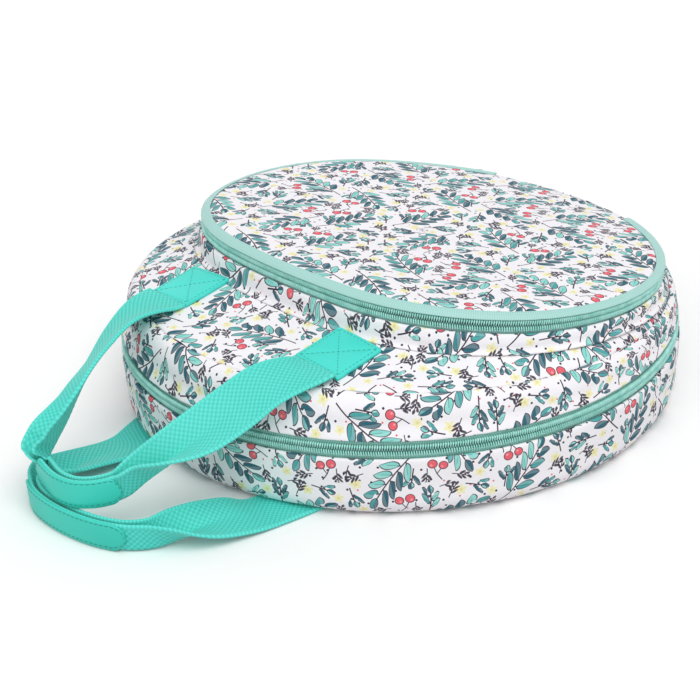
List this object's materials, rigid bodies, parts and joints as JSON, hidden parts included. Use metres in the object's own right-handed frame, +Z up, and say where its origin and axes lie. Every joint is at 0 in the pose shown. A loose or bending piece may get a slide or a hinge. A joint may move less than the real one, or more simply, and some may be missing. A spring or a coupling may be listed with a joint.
{
  "type": "embroidery storage bag",
  "caption": "Round, soft-sided embroidery storage bag lying on its back, with a zip all round, a zipped outside pocket with a hinged lid, and webbing handles with leather grips.",
  "frame": {"origin": "centre of the back face, where the bag lies on the table", "axes": "+Z up out of the back face towards the front pocket, +Y from the handles to the fabric hinge, X across the bag"},
  "size_m": [0.3245, 0.4039, 0.1034],
  "materials": {
    "print": "printed woven cloth, matte",
    "lining": "plain woven lining, matte",
    "binding": "woven seam tape",
    "zip_tape": "satin zip tape",
    "zip_coil": "coiled nylon",
    "zip_metal": "enamelled, satin",
    "webbing": "chunky woven webbing",
    "leather": "smooth stitched faux leather"
  },
  "bodies": {
    "back_shell": {"back_panel": "print", "back_gusset": "print", "back_lining": "lining", "back_seam_binding": "binding", "main_zip_lower_tape": "zip_tape", "main_zip_lower_coil": "zip_coil", "main_hinge_panel": "print", "back_patch_left": "leather", "back_patch_right": "leather"},
    "front_shell": {"front_gusset": "print", "front_panel": "print", "front_lining": "lining", "front_seam_binding": "binding", "main_zip_upper_tape": "zip_tape", "main_zip_upper_coil": "zip_coil", "front_patch_left": "leather", "front_patch_right": "leather", "pocket_gusset": "print", "pocket_lining": "lining", "pocket_zip_lower_tape": "zip_tape", "pocket_zip_lower_coil": "zip_coil", "pocket_hinge_panel": "print"},
    "pocket_lid": {"pocket_lid_panel": "print", "pocket_lid_lining": "lining", "pocket_zip_upper_tape": "zip_tape", "pocket_zip_upper_coil": "zip_coil"},
    "front_handle": {"front_handle_webbing": "webbing", "front_handle_grip": "leather"},
    "back_handle": {"back_handle_webbing": "webbing", "back_handle_grip": "leather"},
    "first_slider": {"main_zip_first_slider": "zip_metal"},
    "first_pull": {"main_zip_first_pull": "zip_metal"},
    "second_slider": {"main_zip_second_slider": "zip_metal"},
    "second_pull": {"main_zip_second_pull": "zip_metal"},
    "pocket_slider": {"pocket_zip_slider": "zip_metal"},
    "pocket_pull": {"pocket_zip_pull": "zip_metal"}
  },
  "joints": [
    {"name": "front_opening", "type": "hinge", "parent": "back_shell", "child": "front_shell", "pos_m": [0, 0.1613, 0.041], "axis": [-1, 0, 0], "range_deg": [0, 150], "deforming": ["main_hinge_panel"]},
    {"name": "lid_opening", "type": "hinge", "parent": "front_shell", "child": "pocket_lid", "pos_m": [0, 0.15139, 0.06468], "axis": [-1, 0, 0], "range_deg": [0, 130], "deforming": ["pocket_hinge_panel"]},
    {"name": "front_handle_swing", "type": "hinge", "parent": "front_shell", "child": "front_handle", "pos_m": [0, -0.1186, 0.0752], "axis": [-1, 0, 0], "range_deg": [0, 120]},
    {"name": "back_handle_swing", "type": "hinge", "parent": "back_shell", "child": "back_handle", "pos_m": [0, -0.1186, 0.0001], "axis": [1, 0, 0], "range_deg": [0, 110]},
    {"name": "first_slider_travel", "type": "hinge", "parent": "back_shell", "child": "first_slider", "pos_m": [0, 0, 0.041], "axis": [0, 0, 1], "range_deg": [-46, 0]},
    {"name": "first_pull_turn", "type": "hinge", "parent": "first_slider", "child": "first_pull", "pos_m": [-0.15306, 0.0556, 0.041], "axis": [0, 0, 1], "range_deg": [0, 160]},
    {"name": "second_slider_travel", "type": "hinge", "parent": "back_shell", "child": "second_slider", "pos_m": [0, 0, 0.041], "axis": [0, 0, 1], "range_deg": [0, 258]},
    {"name": "second_pull_turn", "type": "hinge", "parent": "second_slider", "child": "second_pull", "pos_m": [-0.15927, 0.03396, 0.041], "axis": [0, 0, -1], "range_deg": [0, 160]},
    {"name": "pocket_slider_travel", "type": "hinge", "parent": "front_shell", "child": "pocket_slider", "pos_m": [0, 0, 0.0854], "axis": [0, 0.1356, 0.9908], "range_deg": [0, 27]},
    {"name": "pocket_pull_turn", "type": "hinge", "parent": "pocket_slider", "child": "pocket_pull", "pos_m": [-0.06757, 0.13749, 0.06659], "axis": [0, -0.1356, -0.9908], "range_deg": [0, 160]}
  ]
}
